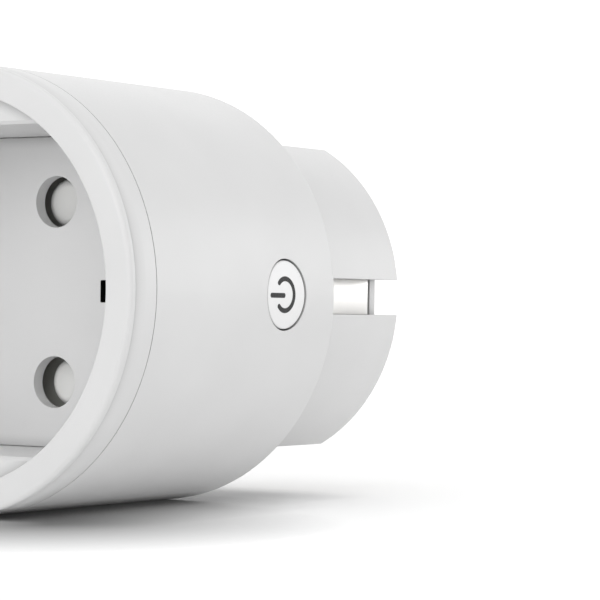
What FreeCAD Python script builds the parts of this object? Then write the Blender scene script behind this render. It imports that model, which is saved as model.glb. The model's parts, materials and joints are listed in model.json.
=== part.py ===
import FreeCAD, Part
import math
import os
import re
import Sketcher

# Round pass-through smart plug, type F socket in front and type E/F plug at the back.
# Millimetres. Origin: centre of the engagement face, where the plug pins leave the boss.
# +Y runs out along the pins, -Y faces the socket well, +X is the button side, +Z is up.

doc = FreeCAD.newDocument("SmartPlug")
sheet = doc.addObject("Spreadsheet::Sheet", "Sizes")

sizes = [
    ("bodyLength", 56.0, "front ring face to engagement face"),
    ("bossLength", 19.0, "rear boss that enters the wall socket"),
    ("bodyRadius", 22.75, "outside of the round body"),
    ("wall", 1.5, "shell wall"),
    ("shoulderWall", 1.6, "wall between body and boss"),
    ("shoulderRound", 0.6, "rounding of the rear body edge"),
    ("seamDepth", 4.35, "front face to the seam between cover and housing"),
    ("seamGap", 0.14, "open width of that seam"),
    ("spigotLength", 3.2, "cover spigot inside the housing"),
    ("spigotGap", 0.1, "spigot to housing, radial"),
    ("frontRound", 0.5, "rounding of the front outer edge"),
    ("beadStart", 0.85, "front face to the shadow groove"),
    ("beadSlope", 0.1, "axial length of the groove's steep side"),
    ("beadEnd", 2.6, "front face to where the groove has run out"),
    ("beadSink", 0.28, "depth of the shadow groove"),
    ("mouthRadius", 19.75, "socket well"),
    ("wellWall", 1.2, "well wall"),
    ("wellDepth", 17.6, "front face to well floor"),
    ("floorThick", 1.5, "well floor"),
    ("floorFit", 0.05, "well floor inside the well wall"),
    ("guideFlat", 16.4, "well guide flats, from the axis"),
    ("guideSetback", 1.0, "guide flats start behind the front face"),
    ("guideBevel", 0.35, "bevel on the guide flats"),
    ("guideRoot", 20.35, "radius the guide blocks reach inside the well wall"),
    ("holePitch", 19.0, "pin spacing, socket and plug"),
    ("holeRadius", 2.72, "socket holes"),
    ("shutterGap", 0.8, "well floor to shutter"),
    ("shutterThick", 2.0, "safety shutter"),
    ("shutterTilt", 2.2, "angle at which the shutter rests, degrees"),
    ("armHalf", 1.5, "half width of a shutter arm"),
    ("armSink", 0.9, "shutter arms below the pads"),
    ("padRadius", 2.6, "shutter pads"),
    ("padRound", 0.85, "rounding of the shutter pads"),
    ("shutterHub", 4.6, "shutter hub radius"),
    ("pivotRadius", 1.5, "shutter pivot post"),
    ("pivotFit", 0.08, "shutter bore over the post, radial"),
    ("coilRadius", 2.75, "shutter spring, mean coil radius"),
    ("coilWire", 0.4, "shutter spring wire diameter"),
    ("coilPitch", 0.5, "shutter spring pitch"),
    ("carrierGap", 0.5, "shutter to contact carrier"),
    ("carrierThick", 1.6, "contact carrier plate"),
    ("carrierRadius", 20.7, "contact carrier plate"),
    ("bossRadius", 19.35, "rear boss"),
    ("bossFlat", 16.95, "flats of the rear boss, from the axis"),
    ("bossRound", 0.4, "rounding of the boss end"),
    ("bossInner", 17.55, "boss cavity radius"),
    ("bossInnerFlat", 15.2, "boss cavity flats"),
    ("bossEndWall", 2.0, "engagement wall"),
    ("grooveHalf", 1.975, "half width of the side grooves of the boss"),
    ("grooveFloor", 16.1, "side groove floor, from the axis"),
    ("grooveWall", 14.6, "cavity side of the groove wall, from the axis"),
    ("stripThick", 0.6, "earth strip"),
    ("stripHalf", 1.925, "half width of the earth strip"),
    ("stripEnd", 1.56, "engagement face to the strip end"),
    ("stripBar", 1.12, "plastic bar beyond the strip"),
    ("pinRadius", 2.4, "plug pin"),
    ("pinLength", 19.0, "plug pin beyond the engagement face"),
    ("pinFlange", 3.6, "plug pin flange inside the boss"),
    ("pinShank", 2.65, "plug pin where it passes the end wall"),
    ("pinTail", 1.15, "plug pin solder tail"),
    ("earthOffset", 10.0, "earth pin hole, from the axis"),
    ("earthRadius", 2.65, "earth pin hole"),
    ("buttonDepth", 27.4, "front face to the button axis"),
    ("buttonRadius", 3.59, "button cap"),
    ("buttonFit", 0.16, "button cap to its hole, radial"),
    ("buttonSink", 0.08, "button face below the body surface"),
    ("plungerRadius", 1.7, "switch plunger"),
    ("plungerTop", 18.4, "switch plunger top, from the axis"),
    ("switchHigh", 3.4, "switch case on its board"),
    ("fingerHalf", 1.1, "half width of an earth spring finger"),
    ("fingerThick", 0.5, "earth spring finger"),
    ("fingerNose", 15.45, "tip of the finger bulge, from the axis"),
    ("fingerNoseDepth", 5.1, "front face to the bulge"),
    ("boardThick", 1.6, "circuit boards"),
    ("powerBoardTop", 18.6, "engagement face to the front of the power board"),
    ("controlBoardX", 12.6, "inner side of the control board"),
    ("postSide", 11.5, "power board posts, across"),
    ("postHeight", 9.2, "power board posts, up"),
    ("screwSide", 8.4, "carrier screws, across"),
    ("screwHeight", 14.55, "carrier screws, up"),
    ("screwCore", 0.85, "screw thread core"),
    ("screwBoss", 2.2, "carrier screw boss"),
    ("postRadius", 2.0, "power board posts"),
    ("slotInner", 18.9, "earth finger slot, inner side from the axis"),
    ("slotOuter", 20.45, "earth finger slot, outer side from the axis"),
    ("slotStart", 2.4, "front face to the earth finger slot"),
    ("slotHalf", 1.4, "half width of the earth finger slot"),
    ("baseGap", 0.08, "shoulder plate to sleeve, radial"),
    ("controlHalf", 10.4, "half width of the control board"),
    ("railWall", 1.2, "control board rails, wall"),
    ("railLow", 9.6, "control board rails, inner side"),
    ("railHigh", 12.0, "control board rails, outer side"),
    ("past", 1.0, "how far a cut runs past its part"),
    ("sink", 0.1, "how far two joined blocks run into each other"),
    ("guideSpread", 12.0, "half angle of the outer corners of a guide block, degrees"),
    ("screwCoreDepth", 2.8, "carrier screw core"),
    ("postCoreDepth", 5.0, "power board screw core"),
    ("grooveCheek", 1.6, "plastic beside the side grooves"),
    ("cavityLow", 28.0, "first corner of the boss cavity, degrees"),
    ("cavityHigh", 44.0, "second corner of the boss cavity, degrees"),
    ("seatFit", 0.05, "strips, pins and boards in their seats, each side"),
    ("railFit", 0.1, "control board ends and ring notches, each side"),
    ("stemRadius", 1.5, "button stem"),
    ("stemEnd", 20.0, "button stem end, from the axis"),
    ("barInner", 19.75, "retaining bar of the button, inner side"),
    ("barOuter", 20.55, "retaining bar of the button, outer side"),
    ("barHalf", 2.5, "retaining bar, half width"),
    ("barReach", 4.6, "retaining bar, half length"),
    ("neckRadius", 2.6, "button neck"),
    ("capInner", 20.9, "button cap, inner side"),
    ("capRound", 0.16, "rounding of the button face edge"),
    ("switchHalf", 3.0, "switch case, half side"),
    ("plungerFit", 0.08, "plunger in its bore, radial"),
    ("plungerBore", 1.7, "plunger bore depth"),
    ("plungerLong", 1.9, "plunger length"),
    ("springPocket", 1.75, "pocket for the spring in the shutter hub"),
    ("springRoom", 0.5, "pocket wider than the spring, radial"),
    ("springSink", 1.45, "spring start in front of the shutter back"),
    ("coilTurns", 3.0, "shutter spring turns"),
    ("innerLeg", 3.5, "end of the spring leg in the hub, from the axis"),
    ("outerLeg", 6.2, "end of the free spring leg, from the axis"),
    ("boxInner", 3.3, "contact box, inside from the middle"),
    ("boxOuter", 4.3, "contact box, outside from the middle"),
    ("boxLow", 6.2, "contact box, open side, from the axis"),
    ("boxHigh", 14.4, "contact box, closed side, from the axis"),
    ("boxDepth", 9.6, "contact box behind the carrier plate"),
    ("carrierHole", 0.3, "carrier holes wider than the socket holes, radial"),
    ("fingerRoom", 0.5, "room beside a spring finger in the carrier"),
    ("screwFit", 0.2, "screw holes wider than the thread core, radial"),
    ("forkInner", 2.45, "contact leaves, inside from the middle"),
    ("forkOuter", 3.05, "contact leaves, outside from the middle"),
    ("forkLow", 6.6, "contact leaves, open side, from the axis"),
    ("forkWeb", 12.4, "contact web, inner side, from the axis"),
    ("forkHigh", 13.0, "contact web, outer side, from the axis"),
    ("forkDepth", 11.0, "contact leaves behind the carrier plate"),
    ("legHalf", 1.0, "half width of a contact leg"),
    ("legEnd", 0.4, "power board back to the tip of a contact leg"),
    ("clipOuter", 20.3, "straight part of a spring finger, from the axis"),
    ("clipBend", 6.5, "well floor to the bend of a spring finger"),
    ("clipTip", 18.6, "tip of a spring finger, from the axis"),
    ("clipTipDepth", 2.2, "bulge to the tip of a spring finger"),
    ("noseThick", 0.6, "tip of the finger bulge to its outer side"),
    ("noseRound", 0.3, "rounding of the finger bulge"),
    ("bridgeOuter", 20.35, "earth bridge, outside"),
    ("bridgeInner", 18.9, "earth bridge, inside"),
    ("earthPlate", 0.7, "earth ring and earth bridge, thickness"),
    ("bridgeAngle", 192.0, "angle the earth bridge covers, degrees"),
    ("ringGap", 0.35, "earth ring to the shell, radial"),
    ("ringLap", 0.3, "earth ring inside the strips"),
    ("linkHalf", 3.0, "half width of the earth link"),
    ("stripRound", 0.2, "rounding of the strip end"),
    ("sleeveWall", 0.65, "earth sleeve"),
    ("sleeveEnd", 14.0, "engagement face to the sleeve end"),
    ("sleeveHalf", 0.5, "half width of the sleeve split and of its leg"),
    ("sleeveLegLow", 2.6, "sleeve leg, inner side"),
    ("sleeveLegHigh", 3.1, "sleeve leg, outer side"),
    ("sleeveLegEnd", 0.4, "sleeve leg beyond the front of the power board"),
    ("tailEnd", 0.3, "pin tail beyond the front of the power board"),
    ("flangeThick", 1.4, "plug pin flange"),
    ("tipRound", 1.92, "rounding of the pin tip"),
    ("busLow", 7.6, "busbar, inner end from the axis"),
    ("busHigh", 12.2, "busbar, outer end from the axis"),
    ("busHalf", 1.6, "half width of a busbar"),
    ("busThick", 0.5, "busbar"),
    ("boardEdge", 0.5, "power board to the cavity, radial"),
    ("boardFlat", 14.8, "flats of the power board, from the axis"),
    ("boardNotch", 14.25, "side notches of the power board, from the axis"),
    ("notchHalf", 3.8, "half width of the side notches"),
    ("legRoom", 0.15, "board slots round the contact legs, each side"),
    ("earthSlotHalf", 0.7, "half width of the board slot for the sleeve leg"),
    ("earthSlotLow", 2.4, "board slot for the sleeve leg, inner side"),
    ("earthSlotHigh", 3.3, "board slot for the sleeve leg, outer side"),
    ("headerThick", 1.8, "board header"),
    ("headerHalf", 5.0, "half width of the board header"),
    ("boardSetback", 0.6, "control board to the earth ring"),
    ("relayWide", 9.0, "relay, half width"),
    ("relayHigh", 5.1, "relay, half height"),
    ("relayFront", 1.4, "contact carrier to the relay"),
    ("relayRound", 0.5, "rounding of the relay case"),
    ("wifiThick", 0.8, "radio board"),
    ("wifiHalf", 9.0, "half width of the radio board"),
    ("wifiFront", 0.8, "contact carrier to the radio board"),
    ("wifiBack", 0.9, "radio board to the earth ring"),
    ("shieldHigh", 1.9, "shield can above the radio board"),
    ("shieldFront", 1.4, "contact carrier to the shield can"),
    ("shieldBack", 1.7, "shield can to the earth ring"),
    ("shieldLow", -8.0, "shield can, lower side"),
    ("shieldTop", 3.6, "shield can, upper side"),
    ("shieldRound", 0.3, "rounding of the shield can"),
    ("ledHigh", 0.9, "indicator lights above their board"),
    ("ledFront", 4.2, "button axis to the indicator lights"),
    ("ledBack", 5.0, "button axis to the far side of the lights"),
    ("ledInner", 1.2, "indicator lights, inner side from the middle"),
    ("ledOuter", 2.8, "indicator lights, outer side from the middle"),
    ("coreLeft", 2.5, "transformer core, left side"),
    ("coreRight", 13.5, "transformer core, right side"),
    ("coreFront", -14.5, "transformer core, board side"),
    ("coreBack", -11.0, "transformer core, far side"),
    ("coreHalf", 5.5, "transformer core, half height"),
    ("bobbinInset", 1.1, "transformer bobbin inside the core"),
    ("bobbinBack", -8.2, "transformer bobbin, far side"),
    ("bobbinHalf", 4.6, "transformer bobbin, half height"),
    ("capacitorSide", 8.5, "bulk capacitors, across"),
    ("capacitorHeight", 10.4, "bulk capacitors, up"),
    ("capacitorRadius", 3.15, "bulk capacitors"),
    ("capacitorLong", 11.0, "bulk capacitors"),
    ("chokeSide", 6.0, "choke, across"),
    ("chokeHeight", 11.5, "choke, up"),
    ("chokeRadius", 2.5, "choke flanges"),
    ("windingRadius", 2.2, "choke winding"),
    ("chokeFlange", 1.0, "choke flange thickness"),
    ("chokeLong", 6.5, "choke"),
    ("resistorSide", -5.2, "fusible resistor, across"),
    ("resistorHeight", -11.0, "fusible resistor, up"),
    ("resistorRadius", 1.5, "fusible resistor"),
    ("resistorLong", 8.0, "fusible resistor"),
    ("varistorBack", 4.6, "power board to the middle of the varistor"),
    ("varistorRadius", 4.4, "varistor"),
    ("varistorLeft", -5.8, "varistor, left side"),
    ("varistorRight", -2.4, "varistor, right side"),
    ("chipLeft", -13.6, "rectifier and metering chip, left side"),
    ("rectifierRight", -10.0, "rectifier, right side"),
    ("rectifierHigh", 1.9, "rectifier above the board"),
    ("rectifierLow", -7.2, "rectifier, lower side"),
    ("rectifierTop", -3.7, "rectifier, upper side"),
    ("chipRight", -9.8, "metering chip, right side"),
    ("chipHigh", 1.5, "metering chip above the board"),
    ("chipLow", -3.4, "metering chip, lower side"),
    ("chipTop", 1.6, "metering chip, upper side"),
    ("headRadius", 1.8, "screw head"),
    ("headHigh", 1.3, "screw head"),
    ("recessDepth", 0.7, "cross recess"),
    ("recessReach", 0.9, "cross recess, half length of a bar"),
    ("recessHalf", 0.2, "cross recess, half width of a bar"),
    ("carrierScrew", 4.0, "carrier screw under its head"),
    ("boardScrew", 6.0, "board screw under its head"),
]
for row, (alias, number, note) in enumerate(sizes, start=1):
    sheet.set(f"A{row}", note)
    sheet.set(f"B{row}", str(number))
    sheet.setAlias(f"B{row}", alias)
doc.recompute()

names = {alias for alias, number, note in sizes}
derived = {
    "front": "(-bodyLength)",
    "seam": "(seamDepth - bodyLength)",
    "floorFront": "(wellDepth - bodyLength)",
    "floorBack": "(floorFront + floorThick)",
    "shutterFront": "(floorBack + shutterGap)",
    "shutterBack": "(shutterFront + shutterThick)",
    "carrierFront": "(shutterBack + carrierGap)",
    "carrierBack": "(carrierFront + carrierThick)",
    "shoulder": "(-bossLength)",
    "shellEnd": "(shoulder - shoulderWall)",
    "shellInner": "(bodyRadius - wall)",
    "buttonY": "(buttonDepth - bodyLength)",
    "pinHigh": "(holePitch / 2)",
    "boardFront": "(-powerBoardTop)",
    "boardBack": "(boardThick - powerBoardTop)",
    "controlFace": "(controlBoardX + boardThick)",
    "ringFront": "(shellEnd - earthPlate)",
    "bridgeBack": "(carrierBack + earthPlate)",
}


def link(text):
    """Write out derived places and point every size name at the sheet."""
    text = str(text)
    while re.search(r"\b(" + "|".join(derived) + r")\b", text):
        text = re.sub(r"\b[A-Za-z]\w*\b", lambda word: derived.get(word.group(), word.group()), text)
    return re.sub(
        r"\b[A-Za-z]\w*\b",
        lambda word: "Sizes." + word.group() if word.group() in names else word.group(),
        text,
    )


def value(text):
    """Work an expression out as a plain number."""
    result = sheet.evalExpression(link(text))
    return float(getattr(result, "Value", result))


# ---- sketches and features -------------------------------------------------------------

planes = {"X": ("YZ_Plane", 1), "Y": ("XZ_Plane", -1), "Z": ("XY_Plane", 1)}


def originPlane(body, role):
    return next(item for item in body.Origin.OriginFeatures if item.Role == role)


def newSketch(body, name, role, offset="0"):
    sketch = body.newObject("Sketcher::SketchObject", name)
    sketch.AttachmentSupport = (originPlane(body, role), [""])
    sketch.MapMode = "FlatFace"
    sketch.setExpression("AttachmentOffset.Base.z", link(offset))
    return sketch


def pin(sketch, geometry, vertex, u, v):
    """Hold one sketch point at expression coordinates."""
    for kind, axis, text in (("DistanceX", -2, u), ("DistanceY", -1, v)):
        if str(text) == "0":
            sketch.addConstraint(Sketcher.Constraint("PointOnObject", geometry, vertex, axis))
            continue
        number = value(text)
        index = sketch.addConstraint(Sketcher.Constraint(kind, -1, 1, geometry, vertex, number))
        sketch.setExpression(f"Constraints[{index}]", link(text))


def polygon(sketch, points):
    """Closed outline of straight lines through expression points."""
    spots = [FreeCAD.Vector(value(u), value(v), 0) for u, v in points]
    first = sketch.GeometryCount
    count = len(spots)
    for index in range(count):
        sketch.addGeometry(Part.LineSegment(spots[index], spots[(index + 1) % count]))
    for index in range(count):
        after = first + (index + 1) % count
        sketch.addConstraint(Sketcher.Constraint("Coincident", first + index, 2, after, 1))
        pin(sketch, first + index, 1, *points[index])


def rectangle(sketch, left, right, low, high):
    polygon(sketch, [(left, low), (right, low), (right, high), (left, high)])


def circle(sketch, u, v, radius):
    centre = FreeCAD.Vector(value(u), value(v), 0)
    index = sketch.addGeometry(Part.Circle(centre, FreeCAD.Vector(0, 0, 1), value(radius)))
    pin(sketch, index, 3, u, v)
    radial = sketch.addConstraint(Sketcher.Constraint("Radius", index, value(radius)))
    sketch.setExpression(f"Constraints[{radial}]", link(radius))


def ribbon(sketch, points, thickness):
    """Strip of even thickness: one side through the points, the other held parallel to it."""
    spots = [FreeCAD.Vector(value(u), value(v), 0) for u, v in points]
    thick = value(thickness)
    sides = []
    for index in range(len(spots)):
        before = spots[max(index - 1, 0)]
        after = spots[min(index + 1, len(spots) - 1)]
        along = (after - before).normalize()
        sides.append(spots[index] + FreeCAD.Vector(along.y, -along.x, 0) * thick)
    runs = len(spots) - 1
    first = sketch.GeometryCount
    for line in (spots, sides):
        for index in range(runs):
            sketch.addGeometry(Part.LineSegment(line[index], line[index + 1]))
    for index in range(runs - 1):
        sketch.addConstraint(Sketcher.Constraint("Coincident", first + index, 2, first + index + 1, 1))
        other = first + runs + index
        sketch.addConstraint(Sketcher.Constraint("Coincident", other, 2, other + 1, 1))
    startCap = sketch.addGeometry(Part.LineSegment(spots[0], sides[0]))
    endCap = sketch.addGeometry(Part.LineSegment(spots[-1], sides[-1]))
    sketch.addConstraint(Sketcher.Constraint("Coincident", startCap, 1, first, 1))
    sketch.addConstraint(Sketcher.Constraint("Coincident", startCap, 2, first + runs, 1))
    sketch.addConstraint(Sketcher.Constraint("Coincident", endCap, 1, first + runs - 1, 2))
    sketch.addConstraint(Sketcher.Constraint("Coincident", endCap, 2, first + 2 * runs - 1, 2))
    sketch.addConstraint(Sketcher.Constraint("Perpendicular", startCap, first))
    sketch.addConstraint(Sketcher.Constraint("Perpendicular", endCap, first + runs - 1))
    for index in range(runs):
        pin(sketch, first + index, 1, *points[index])
        other = first + runs + index
        sketch.addConstraint(Sketcher.Constraint("Parallel", first + index, other))
        gap = sketch.addConstraint(Sketcher.Constraint("Distance", other, 1, first + index, thick))
        sketch.setExpression(f"Constraints[{gap}]", link(thickness))
    pin(sketch, first + runs - 1, 2, *points[-1])


def extrude(body, kind, name, axis, low, high, draw):
    """Pad or pocket between two places on an axis, with the outlines that draw makes."""
    role, sense = planes[axis]
    padding = kind == "Pad"
    start = low if padding == (sense > 0) else high
    sketch = newSketch(body, name + "Sketch", role, f"{sense} * ({start})")
    draw(sketch)
    before = body.Shape.Volume if body.Tip else 0
    feature = body.newObject("PartDesign::" + kind, name)
    feature.Profile = sketch
    feature.setExpression("Length", link(f"({high}) - ({low})"))
    sketch.Visibility = False
    body.Tip = feature
    doc.recompute()
    grew = feature.Shape.Volume - before
    if (grew > 0) != padding or abs(grew) < 1e-3:
        raise ValueError(f"{feature.Label} changed the volume by {grew:.3f}")
    return feature


def revolve(body, name, points, role="XY_Plane", axis="V_Axis", angle="360", middle=False):
    """Turn a closed outline about the sketch axis that lies along Y."""
    sketch = newSketch(body, name + "Sketch", role)
    polygon(sketch, points)
    feature = body.newObject("PartDesign::Revolution", name)
    feature.Profile = sketch
    feature.ReferenceAxis = (sketch, [axis])
    feature.setExpression("Angle", link(f"{angle} * 1 deg"))
    feature.Midplane = middle
    sketch.Visibility = False
    body.Tip = feature
    doc.recompute()
    return feature


def edgesWhere(feature, test):
    return [f"Edge{index}" for index, edge in enumerate(feature.Shape.Edges, start=1) if test(edge)]


def dress(body, kind, name, size, test):
    """Fillet or chamfer the edges of the tip that pass a test."""
    base = body.Tip
    chosen = edgesWhere(base, test)
    if not chosen:
        raise ValueError(f"{name} found no edges")
    feature = body.newObject("PartDesign::" + kind, name)
    feature.Base = (base, chosen)
    feature.setExpression("Radius" if kind == "Fillet" else "Size", link(size))
    body.Tip = feature
    doc.recompute()
    return feature


def atY(edge, y):
    box = edge.BoundBox
    return abs(box.YMin - value(y)) < 1e-4 and abs(box.YMax - value(y)) < 1e-4


def roundEdge(radius, y):
    """Test for a circular edge about the main axis, by radius and place."""
    def test(edge):
        turned = isinstance(edge.Curve, Part.Circle) and abs(edge.Curve.Radius - value(radius)) < 1e-4
        return turned and atY(edge, y)
    return test


def newBody(name):
    body = doc.addObject("PartDesign::Body", name)
    body.Label = name
    return body


# ---- primitives and booleans -----------------------------------------------------------

def block(name, x, y, z):
    """Part::Box between three pairs of expressions."""
    item = doc.addObject("Part::Box", name)
    for prop, axis, (low, high) in zip(("Length", "Width", "Height"), "xyz", (x, y, z)):
        item.setExpression(prop, link(f"({high}) - ({low})"))
        item.setExpression("Placement.Base." + axis, link(low))
    return item


def rod(name, axis, centre, radius, low, high):
    """Part::Cylinder along an axis; centre holds the two other coordinates in X, Y, Z order."""
    item = doc.addObject("Part::Cylinder", name)
    item.setExpression("Radius", link(radius))
    item.setExpression("Height", link(f"({high}) - ({low})"))
    turns = {"X": (0, 1, 0, 90), "Y": (1, 0, 0, -90), "Z": (0, 0, 1, 0)}
    x, y, z, angle = turns[axis]
    item.Placement = FreeCAD.Placement(FreeCAD.Vector(), FreeCAD.Rotation(FreeCAD.Vector(x, y, z), angle))
    others = [letter for letter in "xyz" if letter != axis.lower()]
    item.setExpression("Placement.Base." + axis.lower(), link(low))
    for letter, text in zip(others, centre):
        item.setExpression("Placement.Base." + letter, link(text))
    return item


def union(name, items):
    item = doc.addObject("Part::MultiFuse", name)
    item.Shapes = items
    return item


def group(name, items):
    item = doc.addObject("Part::Compound", name)
    item.Links = items
    return item


def cut(name, base, tools):
    item = doc.addObject("Part::Cut", name)
    item.Base = base
    item.Tool = tools[0] if len(tools) == 1 else union(name + "Tools", tools)
    return item


def softened(name, base, radius):
    """Round every edge of a plain block."""
    item = doc.addObject("Part::Fillet", name)
    item.Base = base
    doc.recompute()
    size = value(radius)
    item.Edges = [(index, size, size) for index in range(1, len(base.Shape.Edges) + 1)]
    return item


# ---- housing ---------------------------------------------------------------------------

def frontCover():
    """Front ring, band, well wall and guide flats, one moulding, open at the back."""
    body = newBody("front_cover")
    spigot = "(shellInner - spigotGap)"
    spigotEnd = "(seam + spigotLength)"
    wellOuter = "(mouthRadius + wellWall)"
    groove = "(bodyRadius - beadSink)"
    revolve(body, "CoverTurn", [
        ("mouthRadius", "front"),
        ("bodyRadius", "front"),
        ("bodyRadius", "front + beadStart"),
        (groove, "front + beadStart + beadSlope"),
        ("bodyRadius", "front + beadEnd"),
        ("bodyRadius", "seam - seamGap"),
        (spigot, "seam - seamGap"),
        (spigot, spigotEnd),
        (wellOuter, spigotEnd),
        (wellOuter, "floorBack"),
        ("mouthRadius", "floorBack"),
    ])

    def guides(sketch):
        for side in ("", "-"):
            reach = "sqrt(guideRoot ^ 2 - guideFlat ^ 2)"
            across = "guideRoot * sin(guideSpread * 1 deg)"
            polygon(sketch, [
                (f"-{reach}", f"{side}guideFlat"),
                (reach, f"{side}guideFlat"),
                (across, f"{side}guideRoot * cos(guideSpread * 1 deg)"),
                (f"-{across}", f"{side}guideRoot * cos(guideSpread * 1 deg)"),
            ])

    extrude(body, "Pad", "GuideFlats", "Y", "front + guideSetback", "floorBack", guides)

    def guideEdge(edge):
        box = edge.BoundBox
        flat = abs(abs(box.ZMin) - value("guideFlat")) < 1e-4 and box.ZLength < 1e-4
        return flat and atY(edge, "front + guideSetback")

    dress(body, "Chamfer", "GuideBevel", "guideBevel", guideEdge)
    dress(body, "Fillet", "FrontRound", "frontRound", roundEdge("bodyRadius", "front"))

    def slots(sketch):
        for side in ("", "-"):
            rectangle(sketch, f"{side}slotInner", f"{side}slotOuter", "-slotHalf", "slotHalf")

    extrude(body, "Pocket", "FingerSlots", "Y", "front + slotStart", "floorBack + past", slots)
    return body


def socketFloor():
    """Floor of the well: plate with the two pin holes, shutter post and screw bosses."""
    body = newBody("socket_floor")
    rim = "(mouthRadius - floorFit)"
    revolve(body, "FloorTurn", [
        ("0", "floorFront"),
        (rim, "floorFront"),
        (rim, "floorBack"),
        ("pivotRadius", "floorBack"),
        ("pivotRadius", "carrierFront"),
        ("0", "carrierFront"),
    ])

    def openings(sketch):
        for side in ("", "-"):
            circle(sketch, "0", f"{side}pinHigh", "holeRadius")
            rectangle(sketch, f"{side}slotInner", f"{side}(mouthRadius + past)", "-slotHalf", "slotHalf")
            rectangle(sketch, "-mouthRadius", "mouthRadius",
                      f"{side}(guideFlat - floorFit)", f"{side}(mouthRadius + past)")

    extrude(body, "Pocket", "FloorOpenings", "Y", "floorFront - past", "floorBack + past", openings)

    def bosses(radius):
        def draw(sketch):
            circle(sketch, "screwSide", "screwHeight", radius)
            circle(sketch, "-screwSide", "-screwHeight", radius)
        return draw

    extrude(body, "Pad", "ScrewBosses", "Y", "floorBack", "carrierFront", bosses("screwBoss"))
    extrude(body, "Pocket", "ScrewCores", "Y", "carrierFront - screwCoreDepth", "carrierFront",
            bosses("screwCore"))
    return body


def mainHousing():
    """Round sleeve from the seam to the shoulder, with the button hole."""
    body = newBody("main_housing")
    revolve(body, "SleeveTurn", [
        ("bodyRadius", "seam"),
        ("bodyRadius", "shoulder"),
        ("shellInner", "shoulder"),
        ("shellInner", "seam"),
    ])
    dress(body, "Fillet", "ShoulderRound", "shoulderRound", roundEdge("bodyRadius", "shoulder"))
    extrude(body, "Pocket", "ButtonHole", "X", "shellInner - past", "bodyRadius + past",
            lambda sketch: circle(sketch, "buttonY", "0", "buttonRadius + buttonFit"))
    return body


def rearBase():
    """Shoulder plate and plug boss, one moulding, with board rails, posts and earth strip seats."""
    body = newBody("rear_base")
    revolve(body, "BaseTurn", [
        ("0", "shellEnd"),
        ("shellInner - baseGap", "shellEnd"),
        ("shellInner - baseGap", "shoulder"),
        ("bossRadius", "shoulder"),
        ("bossRadius", "0"),
        ("0", "0"),
    ])

    def bossCuts(sketch):
        for side in ("", "-"):
            outside = f"{side}(bossRadius + past)"
            rectangle(sketch, "-bossRadius - past", "bossRadius + past", f"{side}bossFlat", outside)
            rectangle(sketch, f"{side}grooveFloor", outside, "-grooveHalf", "grooveHalf")

    extrude(body, "Pocket", "BossCuts", "Y", "shoulder", "past", bossCuts)

    def bossEnd(edge):
        box = edge.BoundBox
        middle = edge.valueAt((edge.FirstParameter + edge.LastParameter) / 2)
        outside = math.hypot(middle.x, middle.z) > value("grooveFloor") + 0.8
        groove = abs(middle.z) < value("grooveHalf") + 0.01
        return atY(edge, "0") and outside and not groove and box.DiagonalLength > 1

    dress(body, "Fillet", "BossRound", "bossRound", bossEnd)

    def cavity(sketch):
        notch = "grooveHalf + grooveCheek"
        corners = [("grooveWall", notch), (f"sqrt(bossInner ^ 2 - ({notch}) ^ 2)", notch)]
        for angle in ("cavityLow", "cavityHigh"):
            corners.append((f"bossInner * cos({angle} * 1 deg)", f"bossInner * sin({angle} * 1 deg)"))
        corners += [("sqrt(bossInner ^ 2 - bossInnerFlat ^ 2)", "bossInnerFlat")]
        ring = list(corners)
        ring += [(f"-({u})", v) for u, v in reversed(corners)]
        ring += [(f"-({u})", f"-({v})") for u, v in corners]
        ring += [(u, f"-({v})") for u, v in reversed(corners)]
        polygon(sketch, ring)

    extrude(body, "Pocket", "BossCavity", "Y", "shellEnd - past", "-bossEndWall", cavity)

    def seats(sketch):
        for side in ("", "-"):
            inner, outer = f"{side}(grooveFloor - stripThick - seatFit)", f"{side}(grooveFloor + seatFit)"
            rectangle(sketch, inner, outer, "-stripHalf - seatFit", "stripHalf + seatFit")

    extrude(body, "Pocket", "StripSeats", "Y", "shellEnd - past", "-stripBar", seats)

    def endHoles(sketch):
        for side in ("", "-"):
            circle(sketch, "0", f"{side}pinHigh", "pinShank + seatFit")
        circle(sketch, "-earthOffset", "0", "earthRadius")

    extrude(body, "Pocket", "EndHoles", "Y", "-bossEndWall - past", "past", endHoles)

    def posts(radius):
        def draw(sketch):
            circle(sketch, "postSide", "postHeight", radius)
            circle(sketch, "-postSide", "-postHeight", radius)
        return draw

    extrude(body, "Pad", "BoardPosts", "Y", "boardBack", "sink - bossEndWall", posts("postRadius"))
    extrude(body, "Pocket", "PostCores", "Y", "boardBack", "boardBack + postCoreDepth", posts("screwCore"))

    def rails(sketch):
        for side in ("", "-"):
            rectangle(sketch, "controlBoardX - railWall", "controlFace + railWall",
                      f"{side}railLow", f"{side}railHigh")

    def channels(sketch):
        for side in ("", "-"):
            rectangle(sketch, "controlBoardX - seatFit", "controlFace + seatFit",
                      f"{side}(railLow - past)", f"{side}(controlHalf + railFit)")

    extrude(body, "Pad", "BoardRails", "Y", "bridgeBack + railFit", "shellEnd + sink", rails)
    extrude(body, "Pocket", "RailChannels", "Y", "bridgeBack", "ringFront", channels)
    return body


# ---- button and switch -----------------------------------------------------------------

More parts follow.
